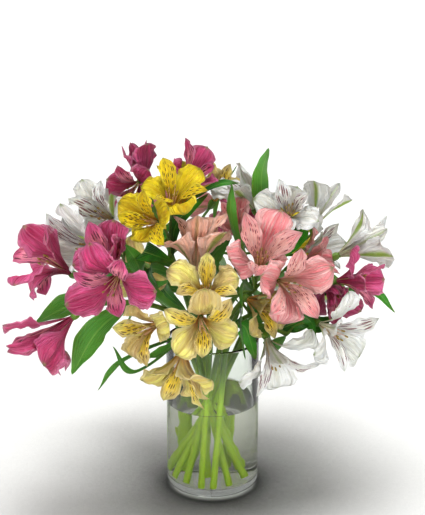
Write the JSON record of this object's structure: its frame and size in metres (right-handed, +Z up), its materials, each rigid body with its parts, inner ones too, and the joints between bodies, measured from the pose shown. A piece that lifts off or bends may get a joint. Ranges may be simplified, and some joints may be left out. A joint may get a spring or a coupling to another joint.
{
  "type": "alstroemeria bouquet in glass vase",
  "caption": "Mixed cut alstroemerias with spreading funnel blooms, thin stalks and lance-shaped leaves, standing in a clear round glass vase part filled with water.",
  "frame": {"origin": "centre of the vase's flat underside, on the surface it stands on", "axes": "+Z up along the vase's axis, -Y towards the front of the bouquet, +X to the viewer's right"},
  "size_m": [0.3255, 0.2599, 0.3094],
  "materials": {
    "clear_glass": "clear and polished",
    "water": "clear water",
    "green": "satin plant skin",
    "magenta_petal": "soft matt petal with dark streaks",
    "white_petal": "soft matt petal with maroon dashes",
    "yellow_petal": "soft matt petal with brown dashes",
    "buff_petal": "soft matt petal with brown dashes",
    "salmon_petal": "soft matt petal with fine flecks",
    "peach_petal": "soft matt petal with olive midribs"
  },
  "bodies": {
    "root": {"vase": "clear_glass", "water": "water", "stem_magenta_left": "green", "stem_white_left": "green", "stem_magenta_top": "green", "stem_yellow_top": "green", "stem_buff_front": "green", "stem_buff_right": "green", "stem_salmon": "green", "stem_white_top": "green", "stem_white_right": "green", "stem_magenta_right": "green", "stem_white_back": "green", "stem_salmon_back": "green", "stem_magenta_back": "green", "magenta_01": "magenta_petal", "magenta_02": "magenta_petal", "magenta_03": "magenta_petal", "magenta_04": "magenta_petal", "magenta_05": "magenta_petal", "magenta_06": "magenta_petal", "magenta_07": "magenta_petal", "magenta_08": "magenta_petal", "magenta_09": "magenta_petal", "magenta_10": "magenta_petal", "white_01": "white_petal", "white_02": "white_petal", "white_03": "white_petal", "white_04": "white_petal", "white_05": "white_petal", "white_06": "white_petal", "white_07": "white_petal", "white_08": "white_petal", "white_09": "white_petal", "white_10": "white_petal", "white_11": "white_petal", "yellow_01": "yellow_petal", "yellow_02": "yellow_petal", "yellow_03": "yellow_petal", "yellow_04": "yellow_petal", "buff_01": "buff_petal", "buff_02": "buff_petal", "buff_03": "buff_petal", "buff_04": "buff_petal", "buff_05": "buff_petal", "buff_06": "buff_petal", "buff_07": "buff_petal", "salmon_01": "salmon_petal", "salmon_02": "salmon_petal", "salmon_03": "salmon_petal", "salmon_04": "salmon_petal", "salmon_05": "salmon_petal", "peach_01": "peach_petal"}
  },
  "joints": []
}
